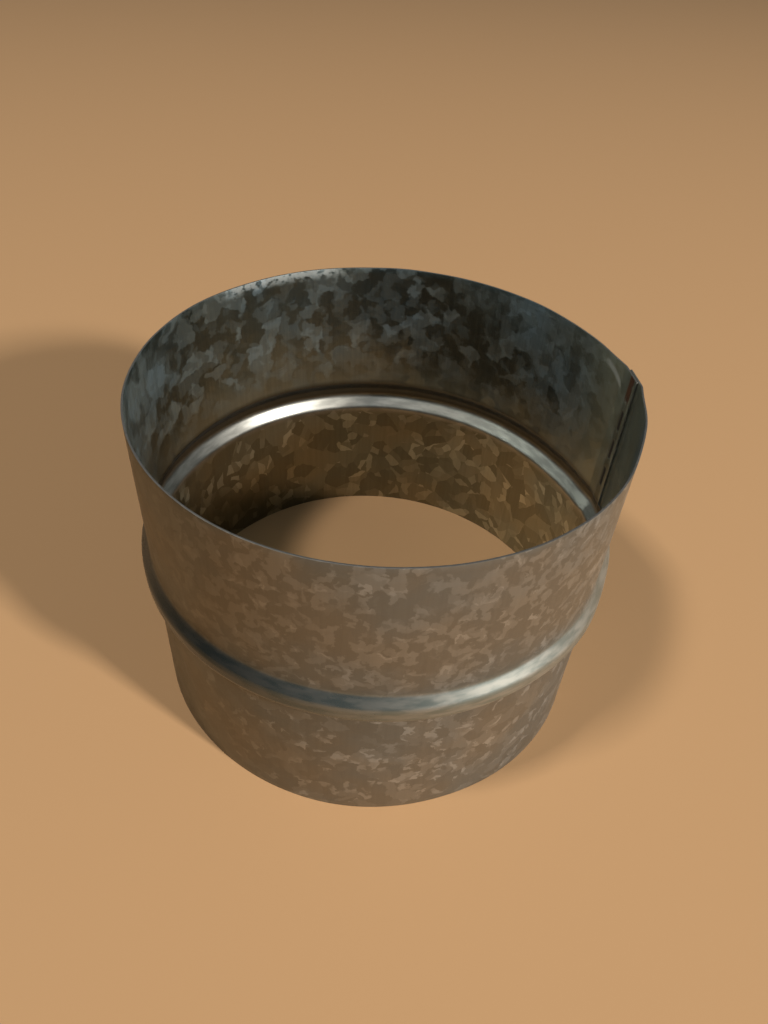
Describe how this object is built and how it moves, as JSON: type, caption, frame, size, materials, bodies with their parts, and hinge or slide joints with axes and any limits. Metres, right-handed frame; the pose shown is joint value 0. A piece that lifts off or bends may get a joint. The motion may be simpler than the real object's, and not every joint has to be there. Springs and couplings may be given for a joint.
{
  "type": "duct collar",
  "caption": "Short round duct connector rolled from galvanised sheet, with a stop bead around its middle and a lapped, stitch-welded seam.",
  "frame": {"origin": "centre of the foot rim, on the duct's axis", "axes": "+Z along the duct's axis from the foot rim to the top rim, +X through the strip's inner end at the lapped seam"},
  "size_m": [0.1566, 0.1544, 0.11],
  "materials": {
    "galvanised_sheet": "weathered hot-dip zinc with a visible spangle"
  },
  "bodies": {
    "root": {"duct_collar": "galvanised_sheet"}
  },
  "joints": []
}
